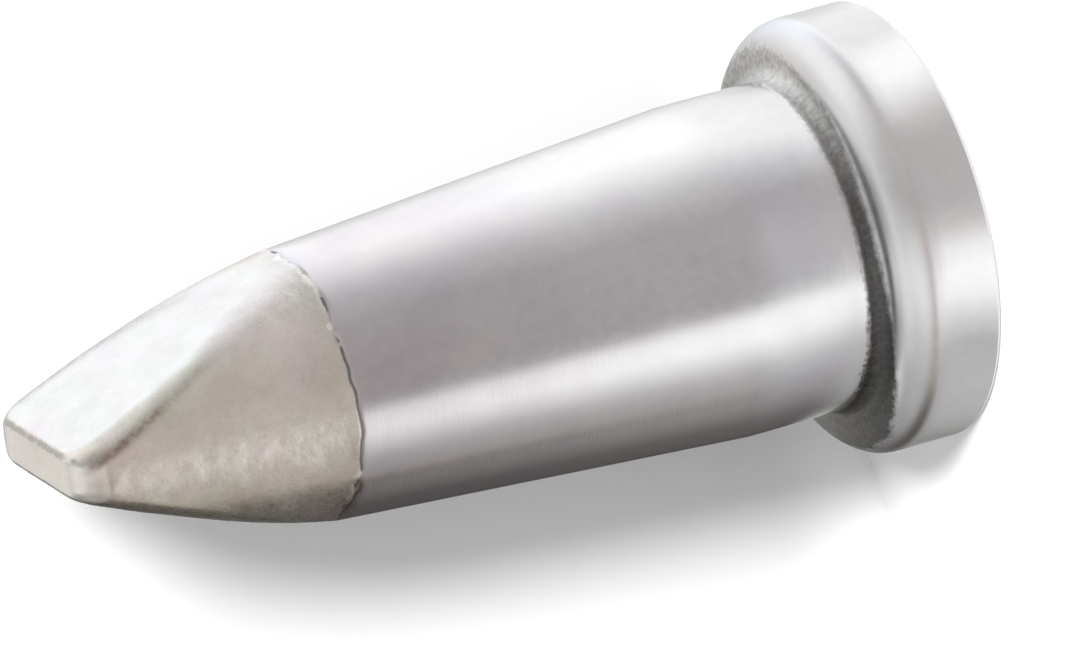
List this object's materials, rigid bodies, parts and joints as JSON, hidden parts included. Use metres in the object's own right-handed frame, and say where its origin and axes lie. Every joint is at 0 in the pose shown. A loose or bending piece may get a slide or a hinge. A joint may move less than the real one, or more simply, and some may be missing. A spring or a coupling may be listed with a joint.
{
  "type": "soldering iron tip",
  "caption": "Plated slip-on soldering iron tip with a rear flange, a slowly tapering shank and a tinned chisel end.",
  "frame": {"origin": "centre of the flange's rear face, on the axis", "axes": "+Z along the axis from the flange to the chisel end; the blade is wide along X and thin along Y"},
  "size_m": [0.008, 0.008, 0.017],
  "materials": {
    "plated_tip": "satin plating on the shank and flange, dull tinned working end"
  },
  "bodies": {
    "root": {"soldering_tip": "plated_tip"}
  },
  "joints": []
}
